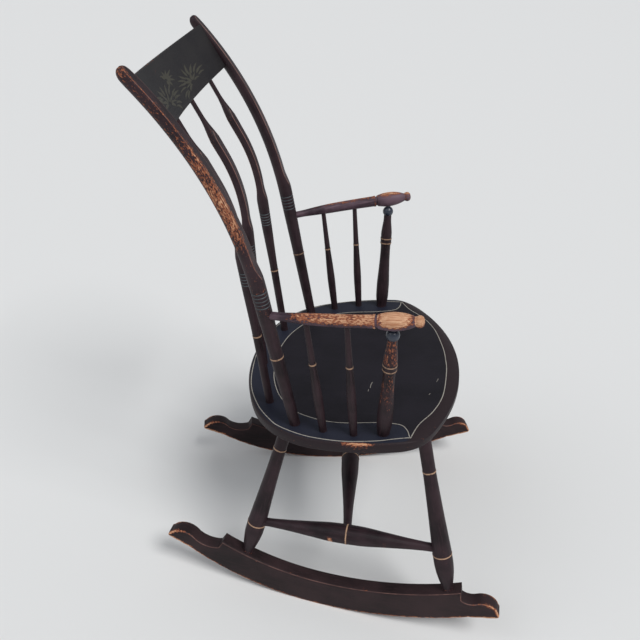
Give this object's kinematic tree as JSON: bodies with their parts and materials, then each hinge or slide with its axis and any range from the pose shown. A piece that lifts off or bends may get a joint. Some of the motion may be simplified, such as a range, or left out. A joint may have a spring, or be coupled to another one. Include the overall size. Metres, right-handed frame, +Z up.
{
  "type": "rocking chair",
  "caption": "Wooden armchair on two curved rockers, with a D-shaped plank seat, turned legs and stretchers, and a bent spindle back under a tablet crest.",
  "frame": {"origin": "on the floor, midway between the two spots where the rockers touch it at rest", "axes": "+Z up, +Y towards the chair's back, +X towards the sitter's left"},
  "size_m": [0.585, 0.7146, 1.0126],
  "materials": {
    "dark_paint": "worn satin",
    "seat_paint": "satin",
    "worn_paint": "rubbed"
  },
  "bodies": {
    "root": {"arm_left": "worn_paint", "arm_post_left": "dark_paint", "arm_post_right": "dark_paint", "arm_right": "worn_paint", "arm_spindle_front_left": "dark_paint", "arm_spindle_front_right": "dark_paint", "arm_spindle_rear_left": "dark_paint", "arm_spindle_rear_right": "dark_paint", "back_post_left": "dark_paint", "back_post_right": "dark_paint", "back_spindle_centre": "dark_paint", "back_spindle_left": "dark_paint", "back_spindle_right": "dark_paint", "crest": "dark_paint", "front_leg_left": "dark_paint", "front_leg_right": "dark_paint", "medial_stretcher": "dark_paint", "rear_leg_left": "dark_paint", "rear_leg_right": "dark_paint", "rocker_left": "worn_paint", "rocker_right": "worn_paint", "seat": "seat_paint", "side_stretcher_left": "dark_paint", "side_stretcher_right": "dark_paint"}
  },
  "joints": []
}
